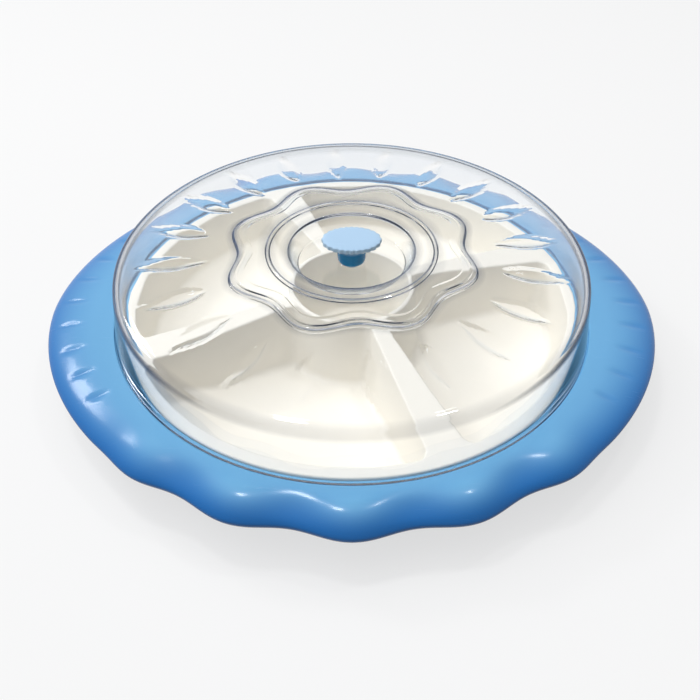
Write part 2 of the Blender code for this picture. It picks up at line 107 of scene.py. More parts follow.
def outputs_of(node):
    """A node's outputs by name."""
    return {socket.name: Output(socket) for socket in node.outputs}


def work_out(operation, *values):
    """One step of arithmetic, on outputs of one tree and plain numbers."""
    tree = next(value.socket.id_data for value in values if isinstance(value, Output))
    return take(tree, "ShaderNodeMath", dict(enumerate(values)), operation=operation)


def start_group(name, kind, inputs, outputs):
    """A node group with named inputs and outputs. Returns the group and its inputs by name."""
    group = bpy.data.node_groups.new(name, kind)
    for title, socket_kind, value in inputs:
        socket = group.interface.new_socket(title, in_out="INPUT", socket_type="NodeSocket" + socket_kind)
        if value is not None:
            socket.default_value = value
    for title, socket_kind in outputs:
        group.interface.new_socket(title, in_out="OUTPUT", socket_type="NodeSocket" + socket_kind)
    return group, outputs_of(add_node(group, "NodeGroupInput"))


def start_material(name, feeds):
    """A material, its node tree and its Principled shader, which is fed first."""
    material = bpy.data.materials.new(name)
    material.use_nodes = True
    shader = material.node_tree.nodes["Principled BSDF"]
    feed(shader, feeds)
    return material, material.node_tree, shader


def flatten(tree, place):
    """A place moved to the level of the floor."""
    return take(tree, "ShaderNodeVectorMath", {0: place, 1: (1, 1, 0)}, operation="MULTIPLY")


def ray_mask(tree, kinds):
    """1 for rays of the given kinds, 0 for all others."""
    rays = outputs_of(add_node(tree, "ShaderNodeLightPath"))
    mask = rays[kinds[0]]
    for kind in kinds[1:]:
        mask = work_out("MAXIMUM", mask, rays[kind])
    return mask


def add_object(name, data):
    """Put new data into the scene as an object."""
    item = bpy.data.objects.new(name, data)
    bpy.context.scene.collection.objects.link(item)
    return item


# %% [markdown]
# The camera stands close to the box and looks down at it, as the photograph does. A close camera makes the
# near scallops large and the far rim small, and a long lens from further away would lose that. Its place
# was worked out from the lid's round seat and the four dividers, which are a quarter turn apart.

# %% Camera
CAMERA_PLACE = (-0.00095, -0.37629, 0.34207)
CAMERA_DOWN_ANGLE = math.radians(42.52)
CAMERA_LENS_MM = 41.34
CAMERA_SENSOR_MM = 36.0
CAMERA_NEAREST = 0.01

camera_data = bpy.data.cameras.new("box_camera")
camera_data.sensor_width = CAMERA_SENSOR_MM
camera_data.lens = CAMERA_LENS_MM
camera_data.clip_start = CAMERA_NEAREST
camera = add_object("box_camera", camera_data)
camera.location = CAMERA_PLACE
camera.rotation_euler = (math.pi / 2 - CAMERA_DOWN_ANGLE, 0, 0)
bpy.context.scene.camera = camera
bpy.context.scene.view_settings.view_transform = "Standard"
print("camera at", CAMERA_PLACE)

# %% [markdown]
# Most of the light comes down softly from above, like a large tent over a table, so the world is brighter
# overhead than at its sides. That keeps the brim's top pale and its outer side deep. Two small lamps give
# the sharp highlights on the scallops, and a wider one lays a soft highlight on the left ear. The background
# is nearly white without adding light to the object: world and floor are brighter only to camera, mirror and
# see-through rays.

# %% Lamps and background
LOOKING_RAYS = ("Is Camera Ray", "Is Transmission Ray", "Is Glossy Ray")
BOX_MIDDLE = (0, 0, 0.04)
DOME_LIGHT_AT_SIDES = 0.05
DOME_LIGHT_OVERHEAD = 2.15
DOME_LIGHT_POWER = 3.0
DOME_LIGHT_COLOR = (0.97, 0.98, 1.0, 1)
BRIGHTEST_SKY = (-0.42, 0.05, 0.90)
BACKGROUND_BRIGHTNESS = 0.96
WHITE = (1, 1, 1, 1)


def add_lamp(name, place, size, power):
    """A rectangular lamp that points at the box."""
    lamp_data = bpy.data.lights.new(name, "AREA")
    lamp_data.shape = "RECTANGLE"
    lamp_data.size, lamp_data.size_y = size
    lamp_data.energy = power
    lamp = add_object(name, lamp_data)
    lamp.location = place
    lamp.rotation_euler = (Vector(BOX_MIDDLE) - Vector(place)).to_track_quat("-Z", "Y").to_euler()


add_lamp("overhead_spark", (-0.25, 0.05, 1.20), size=(0.14, 0.14), power=2.7)
add_lamp("right_spark", (0.35, 0.15, 1.10), size=(0.08, 0.08), power=1.2)
add_lamp("left_softbox", (-0.80, 0.53, 0.83), size=(0.26, 0.20), power=2.8)

world = bpy.data.worlds.new("studio")
world.use_nodes = True
bpy.context.scene.world = world
sky = world.node_tree
sky.nodes.clear()
towards_brightest = take(sky, "ShaderNodeVectorMath", {
    0: take(sky, "ShaderNodeTexCoord", output="Generated"),
    1: Vector(BRIGHTEST_SKY).normalized()}, "Value", operation="DOT_PRODUCT")
dome_strength = take(sky, "ShaderNodeMapRange", {
    "Value": work_out("MAXIMUM", towards_brightest, 0.0) ** DOME_LIGHT_POWER,
    "To Min": DOME_LIGHT_AT_SIDES, "To Max": DOME_LIGHT_OVERHEAD})
sky_light = take(sky, "ShaderNodeBackground", {"Color": DOME_LIGHT_COLOR, "Strength": dome_strength})
sky_seen = take(sky, "ShaderNodeBackground", {"Color": WHITE, "Strength": BACKGROUND_BRIGHTNESS})
sky_mix = take(sky, "ShaderNodeMixShader", {0: ray_mask(sky, LOOKING_RAYS), 1: sky_light, 2: sky_seen})
add_node(sky, "ShaderNodeOutputWorld", {0: sky_mix})

# %% [markdown]
# The floor is a plain pale sheet. It keeps the box's shadow, so that the box stands on something.

# %% Floor
HALF_FLOOR = 4.0
FLOOR_COLOR = (0.22, 0.22, 0.22, 1)
FLOOR_GLOW = 0.68

floor_mesh = bpy.data.meshes.new("floor")
floor_corners = [(x * HALF_FLOOR, y * HALF_FLOOR, 0) for x, y in ((-1, -1), (1, -1), (1, 1), (-1, 1))]
floor_mesh.from_pydata(floor_corners, [], [(0, 1, 2, 3)])
floor = add_object("floor", floor_mesh)
floor_material, floor_tree, floor_shader = start_material("pale_paper", {
    "Base Color": FLOOR_COLOR, "Roughness": 0.9, "Specular IOR Level": 0.1, "Emission Color": WHITE})
feed(floor_shader, {"Emission Strength": ray_mask(floor_tree, LOOKING_RAYS) * FLOOR_GLOW})
floor_mesh.materials.append(floor_material)

# %% [markdown]
# Moulded plastic is never one flat colour. Its skin has slow changes of tone where the melt cooled at
# different speeds, a faint orange peel from the mould, and hairline scuffs from use. Every plastic here
# has that skin, so it is one node group. The group gives out plain values, and each material mixes them
# with its own colour.

# %% Node group: moulded skin
def make_moulded_skin():
    """A node group with the tone, roughness and relief of a moulded plastic skin."""
    group, given = start_group("Moulded skin", "ShaderNodeTree", (
        ("Tone change", "Float", 0.05), ("Roughness", "Float", 0.25),
        ("Scuffs", "Float", 0.15), ("Peel size", "Float", 0.0012),
    ), (("Tone", "Float"), ("Roughness", "Float"), ("Relief", "Float")))
    place = take(group, "ShaderNodeTexCoord", output="Object")
    slow = take(group, "ShaderNodeTexNoise", {"Vector": place, "Scale": 9.0, "Detail": 2.0})
    peel = take(group, "ShaderNodeTexNoise", {
        "Vector": place, "Scale": 1.0 / given["Peel size"], "Detail": 1.0})
    stretched = take(group, "ShaderNodeMapping", {"Vector": place, "Scale": (60.0, 900.0, 300.0)})
    hairs = take(group, "ShaderNodeTexNoise", {"Vector": stretched, "Scale": 1.0, "Detail": 3.0})
    scuff_mask = take(group, "ShaderNodeMapRange", {"Value": hairs, "From Min": 0.58, "From Max": 0.75})
    scuffs = scuff_mask * given["Scuffs"]
    add_node(group, "NodeGroupOutput", {
        "Tone": (slow - 0.5) * given["Tone change"] + 1.0,
        "Roughness": given["Roughness"] + scuffs,
        "Relief": scuffs * -0.5 + peel,
    })
    return group


moulded_skin = make_moulded_skin()
print("group:", moulded_skin.name)

# %% [markdown]
# The two blue plastics carry painted shade by height. The brim is a pale sky blue beside the seat and fades
# to a deep blue at its hem, and the knob's head is paler than its neck, because light falls from above. These
# colours are painted light and shade. A second node group mixes two colours by height, with a power that says
# how quickly the pale one gives way. Inside a given radius only the high colour is used, so that the tray's
# seat stays as pale as the brim beside it.

# %% Node group: painted shade by height
def make_painted_shade_by_height():
    """A node group that paints shade, fading from a dark low colour to a lit high one between two heights."""
    group, given = start_group("Painted shade by height", "ShaderNodeTree", (
        ("Low height", "Float", 0.0), ("High height", "Float", 0.1), ("Power", "Float", 1.0),
        ("Pale radius", "Float", 0.0), ("Painted shade color", "Color", None), ("High color", "Color", None),
    ), (("Color", "Color"),))
    place = take(group, "ShaderNodeTexCoord", output="Object")
    height = take(group, "ShaderNodeSeparateXYZ", {"Vector": place}, "Z")
    share = take(group, "ShaderNodeMapRange", {
        "Value": height, "From Min": given["Low height"], "From Max": given["High height"]})
    from_axis = take(group, "ShaderNodeVectorMath", {0: flatten(group, place)}, "Value", operation="LENGTH")
    inside = work_out("LESS_THAN", from_axis, given["Pale radius"])
    mixed = add_node(group, "ShaderNodeMix", data_type="RGBA")
    feed(mixed, {"Factor": work_out("MAXIMUM", share ** given["Power"], inside)})
    feed(mixed, {6: given["Painted shade color"], 7: given["High color"]})
    add_node(group, "NodeGroupOutput", {"Color": Output(mixed.outputs[2])})
    return group


painted_shade_by_height = make_painted_shade_by_height()
print("group:", painted_shade_by_height.name)

# %% [markdown]
# The blue, white and light blue plastics differ only in colour, gloss and how much skin shows, and the two
# blues also carry painted shade by height. The clear plastic is another matter: it bends light, and its edges
# are painted dark where the eye meets them at a grazing angle, as a painted dark reflection of the
# surroundings. Layer Weight gives that angle, and the lid carries a mark called `edge` along its shoulder,
# its lobes and its rings, where a nearly black layer is painted on. What the mark has over 1 is dark wherever
# it is seen from outside, which paints the shadow in the thin slit round the lid's foot.
#
# A path tracer hardly finds a lamp through a bent clear wall, so shadow rays and diffuse rays pass straight
# through it. Without that the insert under the lid would get only flat light from all sides.

# %% Materials
PLASTIC_SPECULAR = 0.15
COAT_ROUGHNESS = 0.13
CLEAR_IOR = 1.49
CLEAR_SCUFFS = 0.02
# The painted dark reflection at three values of Facing: clear face-on, dark navy at a grazing angle.
CLEAR_PAINTED_EDGE_TINTS = (
    (0.40, (0.99, 0.995, 1.0, 1)),
    (0.65, (0.70, 0.78, 0.88, 1)),
    (0.90, (0.12, 0.20, 0.36, 1)),
)
PAINTED_DARK_EDGE = {"Base Color": (0.02, 0.05, 0.12, 1), "Roughness": 0.25, "Specular IOR Level": 0.25}
PAINTED_DARK_EDGE_SLANT = {"From Min": 0.38, "From Max": 0.62, "To Min": 0.12, "To Max": 0.92}
PASSED_LIGHT = (0.98, 0.985, 0.99, 1)
STEEL_RINGS = {"Scale": 900.0, "Distortion": 1.0}
STEEL_RANGES = (("Base Color", 0.55, 0.66), ("Roughness", 0.22, 0.38))


def make_plastic(name, color, roughness, tone_change, scuffs, peel_height, coat=0.0, fade=None):
    """An opaque moulded plastic. `fade` feeds the group that paints shade into its colour by height."""
    material, tree, shader = start_material(name, {
        "Specular IOR Level": PLASTIC_SPECULAR, "Coat Weight": coat, "Coat Roughness": COAT_ROUGHNESS})
    skin = outputs_of(add_node(tree, "ShaderNodeGroup", {
        "Tone change": tone_change, "Roughness": roughness, "Scuffs": scuffs}, node_tree=moulded_skin))
    if fade:
        color = take(tree, "ShaderNodeGroup", {"High color": color, **fade}, node_tree=painted_shade_by_height)
    toned = take(tree, "ShaderNodeHueSaturation", {"Color": color, "Value": skin["Tone"]})
    bump = take(tree, "ShaderNodeBump", {"Height": skin["Relief"], "Distance": peel_height})
    feed(shader, {"Base Color": toned, "Roughness": skin["Roughness"], "Normal": bump})
    return material


def make_clear_plastic(name):
    """Clear polished plastic, with a painted dark reflection where it is seen at a slant, nearly black
    painted edges, and a painted seam shadow.
    """
    material, tree, shader = start_material(name, {"Transmission Weight": 1.0, "IOR": CLEAR_IOR})
    skin = outputs_of(add_node(tree, "ShaderNodeGroup", {
        "Roughness": 0.0, "Scuffs": CLEAR_SCUFFS}, node_tree=moulded_skin))
    # Facing drives the painted dark reflection at a grazing angle.
    facing = take(tree, "ShaderNodeLayerWeight", {"Blend": 0.5}, "Facing")
    tint = add_node(tree, "ShaderNodeValToRGB", {"Fac": facing})
    tint.color_ramp.elements.new(CLEAR_PAINTED_EDGE_TINTS[1][0])
    for element, (position, color) in zip(tint.color_ramp.elements, CLEAR_PAINTED_EDGE_TINTS):
        element.position = position
        element.color = color
    feed(shader, {"Base Color": Output(tint.outputs[0]), "Roughness": skin["Roughness"]})

    # A nearly black layer is painted along the marked edges; a mark over 1 paints the seam's shadow where
    # seen from outside.
    slant = take(tree, "ShaderNodeMapRange", {"Value": facing, **PAINTED_DARK_EDGE_SLANT})
    edge = take(tree, "ShaderNodeAttribute", output="Fac", attribute_name="edge")
    outside = 1.0 - take(tree, "ShaderNodeNewGeometry", output="Backfacing")
    painted_edge_share = work_out("MAXIMUM", work_out("MINIMUM", edge, 1.0) * slant, (edge - 1.0) * outside)
    with_painted_edges = take(tree, "ShaderNodeMixShader", {
        0: painted_edge_share, 1: Output(shader.outputs[0]), 2: take(tree, "ShaderNodeBsdfPrincipled", PAINTED_DARK_EDGE)})
    mixed = take(tree, "ShaderNodeMixShader", {
        0: ray_mask(tree, ("Is Shadow Ray", "Is Diffuse Ray")),
        1: with_painted_edges, 2: take(tree, "ShaderNodeBsdfTransparent", {"Color": PASSED_LIGHT})})
    feed(tree.nodes["Material Output"], {"Surface": mixed})
    return material


def make_steel(name):
    """Bright turned steel, with fine rings round the screw's axis."""
    material, tree, shader = start_material(name, {"Metallic": 1.0})
    place = take(tree, "ShaderNodeTexCoord", output="Object")
    rings = take(tree, "ShaderNodeTexWave", {"Vector": place, **STEEL_RINGS}, "Fac",
                 wave_type="RINGS", rings_direction="Z")
    for title, low, high in STEEL_RANGES:
        ranged = take(tree, "ShaderNodeMapRange", {"Value": rings, "To Min": low, "To Max": high})
        feed(shader, {title: ranged})
    return material


# The blue's fade paints shade: pale where light falls on the seat and the brim's top, deep blue down at the
# hem.
blue_plastic = make_plastic(
    "blue_plastic", (0.155, 0.41, 0.66, 1), roughness=0.24, tone_change=0.10, scuffs=0.05,
    peel_height=0.000012, coat=0.3, fade={
        "Painted shade color": (0.0, 0.13, 0.43, 1), "Low height": 0.0275, "High height": 0.0383,
        "Power": 3.8, "Pale radius": 0.1392})
white_plastic = make_plastic(
    "warm_white_plastic", (0.87, 0.835, 0.755, 1), roughness=0.36, tone_change=0.04, scuffs=0.10,
    peel_height=0.00001)
# The light blue's fade paints shade: the knob's head pale where light falls, its neck deep blue below.
light_blue_plastic = make_plastic(
    "light_blue_plastic", (0.39, 0.56, 0.74, 1), roughness=0.24, tone_change=0.06, scuffs=0.05,
    peel_height=0.000012, coat=0.2, fade={
        "Painted shade color": (0.0, 0.20, 0.46, 1), "Low height": 0.0755, "High height": 0.0797})
clear_plastic = make_clear_plastic("clear_plastic")
bright_steel = make_steel("bright_steel")
print("materials:", [item.name for item in bpy.data.materials])

# %% [markdown]
# A turned piece starts as a profile, drawn as a list of corners: how far from the axis, how high, how much
# the corner is rounded, and marks that are read later. `follow` says how much of a rule applies at that
# place, `dent` is for small dents, and `edge` tells the clear plastic where its dark edges are painted. Real
# moulded edges always have a small radius, and it is what catches the light.

# %% Profile helpers
ARC_STEPS = 5
LARGEST_ARC_SHARE = 0.48
NEARLY_STRAIGHT = math.radians(172)
SAME_POINT = 1e-7
HUB_RADIUS = 0.001
MARK_PLACES = (("follow", 2), ("dent", 3), ("edge", 4))


def smooth_line(points, steps):
    """Points on a smooth line through given ones, with any number of values each."""
    line = []
    last = len(points) - 1
    for index in range(last):
        before = points[max(index - 1, 0)]
        after = points[min(index + 2, last)]
        for step in range(steps):
            t = step / steps
            line.append(tuple(
                0.5 * ((2 * b) + (c - a) * t + (2 * a - 5 * b + 4 * c - d) * t * t
                       + (3 * b - a - 3 * c + d) * t ** 3)
                for a, b, c, d in zip(before, points[index], points[index + 1], after)))
    line.append(tuple(points[last]))
    return line


def round_corner(before, corner, after):
    """Replace one corner of a profile with a short arc of its own radius."""
    radius, height, rounding, *marks = corner
    here = Vector((radius, height))
    back = Vector(before[:2]) - here
    ahead = Vector(after[:2]) - here
    if rounding <= 0 or min(back.length, ahead.length) < SAME_POINT or back.angle(ahead) > NEARLY_STRAIGHT:
        return [(radius, height, *marks)]
    reach = rounding / math.tan(back.angle(ahead) / 2)
    reach = min(reach, LARGEST_ARC_SHARE * back.length, LARGEST_ARC_SHARE * ahead.length)
    start = here + back.normalized() * reach
    end = here + ahead.normalized() * reach
    arc = []
    for step in range(ARC_STEPS + 1):
        t = step / ARC_STEPS
        point = start * (1 - t) ** 2 + here * 2 * t * (1 - t) + end * t * t
        arc.append((point.x, point.y, *marks))
    return arc


def round_profile(corners):
    """Round all corners of a profile but its ends. A corner is radius, height, rounding, follow and dent."""
    corners = [(*corner, *([0.0] * (5 - len(corner)))) for corner in corners]
    points = []
    for index, corner in enumerate(corners):
        before = corners[max(index - 1, 0)]
        after = corners[min(index + 1, len(corners) - 1)]
        points += round_corner(before, corner, after)
    return points


def draw_profile(name, points, closed=False):
    """A mesh of plain edges with the profile's points and their marks."""
    mesh = bpy.data.meshes.new(name)
    edges = [(index, index + 1) for index in range(len(points) - 1)]
    if closed:
        edges.append((len(points) - 1, 0))
    mesh.from_pydata([(point[0] - HUB_RADIUS, -point[1], 0) for point in points], edges, [])
    for mark, place in MARK_PLACES:
        attribute = mesh.attributes.new(mark, "FLOAT", "POINT")
        values = [point[place] if place < len(point) else 0.0 for point in points]
        attribute.data.foreach_set("value", values)
    return add_object(name, mesh)


# %% [markdown]
# The Geometry Nodes that all turned pieces share: the profile becomes a curve, and Curve to Mesh sweeps it
# round a tiny circle. The marks go with it, so that a rule can read them at every point. At the end the
# doubled points on the axis are merged, which closes the poles.

# %% Geometry Nodes: turning
MERGE_DISTANCE = 0.00002


def start_tree(name, sockets):
    """A Geometry Nodes tree with named inputs. Returns the tree and its inputs."""
    return start_group(name, "GeometryNodeTree", (
        ("Geometry", "Geometry", None), ("Material", "Material", None), *sockets,
    ), (("Geometry", "Geometry"),))


def turn_profile(tree, given):
    """Sweep the profile once round the axis."""
    profile = take(tree, "GeometryNodeMeshToCurve", {"Mesh": given["Geometry"]})
    circle = take(tree, "GeometryNodeCurvePrimitiveCircle", {
        "Resolution": given["Segments"], "Radius": HUB_RADIUS})
    return take(tree, "GeometryNodeCurveToMesh", {"Curve": circle, "Profile Curve": profile})


def read_place(tree):
    """A point's angle round the axis, its distance from the axis, and its unit direction."""
    position = take(tree, "GeometryNodeInputPosition")
    part = outputs_of(add_node(tree, "ShaderNodeSeparateXYZ", {"Vector": position}))
    angle = work_out("ARCTAN2", part["Y"], part["X"])
    flat = flatten(tree, position)
    radius = take(tree, "ShaderNodeVectorMath", {0: flat}, "Value", operation="LENGTH")
    direction = take(tree, "ShaderNodeVectorMath", {0: flat}, "Vector", operation="NORMALIZE")
    return angle, radius, direction


def read_mark(tree, name):
    """One of the profile's marks."""
    return take(tree, "GeometryNodeInputNamedAttribute", {"Name": name}, "Attribute", data_type="FLOAT")


def push(tree, mesh, direction, outward, upward):
    """Move points outward along their direction, and up."""
    away = take(tree, "ShaderNodeVectorMath", {0: direction, "Scale": outward}, operation="SCALE")
    rise = take(tree, "ShaderNodeCombineXYZ", {"Z": upward})
    both = take(tree, "ShaderNodeVectorMath", {0: away, 1: rise}, operation="ADD")
    return take(tree, "GeometryNodeSetPosition", {"Geometry": mesh, "Offset": both})


def end_tree(tree, mesh, given):
    """Merge the poles, shade smooth, and give the piece its material."""
    merged = take(tree, "GeometryNodeMergeByDistance", {"Geometry": mesh, "Distance": MERGE_DISTANCE})
    smooth = take(tree, "GeometryNodeSetShadeSmooth", {"Geometry": merged})
    real = take(tree, "GeometryNodeRealizeInstances", {"Geometry": smooth})
    painted = take(tree, "GeometryNodeSetMaterial", {"Geometry": real, "Material": given["Material"]})
    add_node(tree, "NodeGroupOutput", {"Geometry": painted})
    return tree


def make_piece(name, source, tree, values):
    """Run a tree on a source object and keep the result as a plain mesh whose faces point outwards."""
    modifier = source.modifiers.new("shape", "NODES")
    modifier.node_group = tree
    for item in tree.interface.items_tree:
        if item.item_type == "SOCKET" and item.in_out == "INPUT" and item.name in values:
            modifier[item.identifier] = values[item.name]
    depsgraph = bpy.context.evaluated_depsgraph_get()
    mesh = bpy.data.meshes.new_from_object(source.evaluated_get(depsgraph), depsgraph=depsgraph)
    bpy.data.objects.remove(source, do_unlink=True)
    mesh_data = bmesh.new()
    mesh_data.from_mesh(mesh)
    bmesh.ops.recalc_face_normals(mesh_data, faces=mesh_data.faces)
    mesh_data.to_mesh(mesh)
    mesh_data.free()
    mesh.name = name
    piece = add_object(name, mesh)
    mesh.validate()
    print(name, len(mesh.vertices), "points,", len(mesh.polygons), "faces")
    return piece


# %% [markdown]
# The tray is one moulding: a flat-bottomed bowl, a seat for the insert and a shallower one for the lid, and
# a wide hollow brim that rolls over and ends in a hem. The brim's plain circle grows into two long ears at
# the sides and waves in scallops along the front and the back. It could be modelled from a cut-out outline,
# but then the roll of the brim would have to follow it by hand. As a rule on a turned shape, it follows by
# itself.

# %% Tray sizes
TRAY_WALL = 0.0024
HEM_THICKNESS = 0.0020
BRIM_HEIGHT = 0.038
INSERT_SEAT_HEIGHT = 0.0345
INSERT_SEAT_RADIUS = 0.1348
SEAT_HEIGHT = 0.0366
SEAT_RADIUS = 0.1394
BOWL_FLOOR_HEIGHT = 0.0041
BOWL_CORNER = 0.003
FOOT_RADIUS = 0.114
FOOT_WIDTH = 0.006
FOOT_HEIGHT = 0.0015
BRIM_WIDTH = 0.0226
BRIM_DROP = 0.0145
WALL_DRAFT = math.tan(math.radians(6))
BOWL_RIM_RADIUS = 0.1307
BRIM_STEPS = 6
SEAT_EDGE_POINTS = 2
UNDERSIDE_START = 8
UNDERSIDE_STRIDE = 2
HEM_POINTS = 12
# The brim's section, as shares of its width and its drop, and how much of the ears and scallops applies.
BRIM_SHARES = (
    (0.00, 0.000, 0.00),
    (0.22, 0.015, 0.04),
    (0.42, 0.055, 0.22),
    (0.62, 0.150, 0.52),
    (0.79, 0.280, 0.78),
    (0.92, 0.430, 0.94),
    (1.00, 0.600, 1.00),
    (0.98, 0.750, 1.00),
    (0.92, 0.890, 1.00),
    (0.84, 0.980, 1.00),
)


def bowl_radius(height):
    """Inside radius of the bowl's drafted wall at a height."""
    return BOWL_RIM_RADIUS - (BRIM_HEIGHT - height) * WALL_DRAFT


def brim_skins():
    """Profile points of the brim's outer skin from the seat to the hem, and of its underside back."""
    outer = [
        (SEAT_RADIUS + BRIM_WIDTH * min(reach, 1.0), BRIM_HEIGHT - BRIM_DROP * drop, 0.0, follow)
        for reach, drop, follow in smooth_line(BRIM_SHARES, BRIM_STEPS)]
    last = len(outer) - 1
    under = []
    for index in range(last, UNDERSIDE_START, -UNDERSIDE_STRIDE):
        radius, height, rounding, follow = outer[index]
        along = (Vector(outer[min(index + 1, last)][:2]) - Vector(outer[index - 1][:2])).normalized()
        hem_share = max(0.0, 1.0 - (last - index) / HEM_POINTS)
        wall = TRAY_WALL + (HEM_THICKNESS - TRAY_WALL) * hem_share
        under.append((radius + along.y * wall, height - along.x * wall, rounding, follow))
    return outer, under


def tray_profile():
    """The tray's whole section, from the middle of the bowl round to the middle of the underside."""
    outer, under = brim_skins()
    seat_underside = SEAT_HEIGHT - TRAY_WALL
    insert_seat_underside = INSERT_SEAT_HEIGHT - TRAY_WALL
    return round_profile([
        (0, BOWL_FLOOR_HEIGHT, 0),
        (bowl_radius(BOWL_FLOOR_HEIGHT), BOWL_FLOOR_HEIGHT, BOWL_CORNER),
        (bowl_radius(INSERT_SEAT_HEIGHT), INSERT_SEAT_HEIGHT, 0.0006),
        (INSERT_SEAT_RADIUS, INSERT_SEAT_HEIGHT, 0.0003),
        (INSERT_SEAT_RADIUS, SEAT_HEIGHT, 0.0004),
        (SEAT_RADIUS, SEAT_HEIGHT, 0.0003),
        (SEAT_RADIUS, BRIM_HEIGHT, 0.0007),
        *outer[SEAT_EDGE_POINTS:],
        *under,
        (SEAT_RADIUS + TRAY_WALL, BRIM_HEIGHT - TRAY_WALL, 0.001),
        (SEAT_RADIUS + TRAY_WALL, seat_underside, 0.0004),
        (INSERT_SEAT_RADIUS + TRAY_WALL, seat_underside, 0.0004),
        (INSERT_SEAT_RADIUS + TRAY_WALL, insert_seat_underside, 0.0008),
        (bowl_radius(insert_seat_underside) + TRAY_WALL, insert_seat_underside, 0.0008),
        (bowl_radius(FOOT_HEIGHT) + TRAY_WALL, FOOT_HEIGHT, BOWL_CORNER + TRAY_WALL),
        (FOOT_RADIUS, FOOT_HEIGHT, 0.0004),
        (FOOT_RADIUS, 0, 0.0005),
        (FOOT_RADIUS - FOOT_WIDTH, 0, 0.0005),
        (FOOT_RADIUS - FOOT_WIDTH, FOOT_HEIGHT, 0.0004),
        (0, FOOT_HEIGHT, 0),
    ])


print("tray profile points:", len(tray_profile()))

# %% [markdown]
# The tray's rule, as sums on the angle. `side` is how far a place is from the middle of the nearer ear. The
# ear is a smooth hill over it, and the scallops are a wave that fades out towards the ears. Each ear also
# has a row of shallow finger dimples near its edge, which a repeating angle places.

# %% Geometry Nodes: tray
def make_tray_tree():
    """A tree that turns the tray's profile and gives it ears, scallops and finger dimples."""
    tree, given = start_tree("Tray", (
        ("Segments", "Int", 560),
        ("Ear reach", "Float", 0.0173), ("Ear lift", "Float", 0.0025),
        ("Ear half angle", "Float", math.radians(82)), ("Ear taper", "Float", 0.81),
        ("Scallop pitch", "Float", math.radians(21.3)), ("Scallop height", "Float", 0.0023),
        ("Scallop start", "Float", math.radians(37)), ("Scallop full", "Float", math.radians(55)),
        ("Scallop crest", "Float", 0.0011), ("Scallop onset", "Float", 0.7),
        ("Dimple pitch", "Float", math.radians(7.65)), ("Dimple half length", "Float", 0.0052),
        ("Dimple half width", "Float", 0.0034), ("Dimple depth", "Float", 0.0007),
        ("Dimple row angle", "Float", math.radians(33)), ("Dimple row bend", "Float", 0.011),
    ))
    mesh = turn_profile(tree, given)
    angle, radius, direction = read_place(tree)
    follow = read_mark(tree, "follow")
    quarter = math.pi / 2
    signed = work_out("FLOORED_MODULO", angle + quarter, math.pi) - quarter
    side = work_out("ABSOLUTE", signed)
    share = work_out("MINIMUM", side / given["Ear half angle"], 1.0)
    hill = work_out("COSINE", share ** given["Ear taper"] * quarter)
    ear = hill * hill * follow
    fade = take(tree, "ShaderNodeMapRange", {
        "Value": side, "From Min": given["Scallop start"], "From Max": given["Scallop full"]},
        interpolation_type="SMOOTHSTEP")
    wave = work_out("COSINE", (quarter - side) / given["Scallop pitch"] * math.tau) * fade
    outward = wave * given["Scallop height"] * follow ** given["Scallop onset"] + ear * given["Ear reach"]
    half_way_down = follow * (1.0 - follow) * 4.0
    upward = wave * half_way_down * given["Scallop crest"] + ear * given["Ear lift"]
    shaped = push(tree, mesh, direction, outward, upward)

    across = work_out("PINGPONG", signed, given["Dimple pitch"] / 2.0) * radius / given["Dimple half width"]
    from_row = read_mark(tree, "dent") + side * side * given["Dimple row bend"]
    along = from_row / given["Dimple half length"]
    bowl = work_out("MAXIMUM", 1.0 - (across * across + along * along), 0.0)
    in_row = work_out("LESS_THAN", side, given["Dimple row angle"])
    depth = bowl * bowl * in_row * given["Dimple depth"]
    return end_tree(tree, push(tree, shaped, direction, 0.0, depth * -1.0), given)


# %% [markdown]
# The `dent` mark on the tray says how far along the section a place is from the middle of the dimples. It
# only matters on the outer skin, so everywhere else it is far too large to leave a dimple.

# %% Make the tray
DIMPLE_MIDDLE_SHARE = 0.68
FAR_FROM_DIMPLES = 1.0


def mark_dimples(points):
    """Give the outer skin's points their distance from the dimples' middle."""
    middle_radius = SEAT_RADIUS + BRIM_WIDTH * DIMPLE_MIDDLE_SHARE
    first = next(index for index, point in enumerate(points) if point[0] > SEAT_RADIUS)
    widest = max(range(len(points)), key=lambda index: points[index][0])
    return [
        (*point[:3], point[0] - middle_radius if first <= index <= widest else FAR_FROM_DIMPLES)
        for index, point in enumerate(points)]


tray = make_piece(
    "tray_skin", draw_profile("tray_profile", mark_dimples(tray_profile())), make_tray_tree(),
    {"Material": blue_plastic})
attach(tray, "tray")
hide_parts("serving_tray")

# %% [markdown]
# The insert is a thin moulding that hangs by its rim on the tray's inner seat, and four pockets and a cup go
# down into it. Between the pockets, dividers climb from the rim to the cup. Each pocket is the same shape,
# so one cutter is drawn, and Geometry Nodes repeat it round the axis and cut it out.
#
# A cutter that flares out at its top leaves a rounded edge in one step. It is safer than a bevel
# afterwards, because a bevel on a cut mesh meets many slivers.

# %% Insert sizes
INSERT_WALL = 0.0018
INSERT_RIM_RADIUS = 0.1346
POCKET_RIM_RADIUS = 0.1280
INSERT_LIP_RADIUS = 0.1326
INSERT_BOTTOM = 0.0046
POCKET_FLOOR = 0.0064
RIDGE_TOP = 0.048
CUP_RIM_TOP = 0.0492
CUP_RADIUS = 0.034
CUP_OUTER_RADIUS = 0.0365
CUP_SHOULDER = 0.0012
POCKET_COUNT = 4
FIRST_DIVIDER_ANGLE = math.radians(22)
DIVIDER_WIDTH_AT_CUP = 0.008
DIVIDER_WIDTH_AT_RIM = 0.0215
POCKET_CORNER = 0.006
POCKET_FILLET = 0.004
EDGE_ROUND = 0.0011
CUP_EDGE_ROUND = 0.0007
CUT_OVERRUN = 0.002
CORE_BOTTOM = INSERT_BOTTOM - CUT_OVERRUN
BELOW_CORE = CORE_BOTTOM - CUT_OVERRUN
SHARP_EDGE_ANGLE = math.radians(40)
SEAT_GAP = 0.0003
RIM_POINTS = 22
CORNER_POINTS = 8
CUP_POINTS = 120


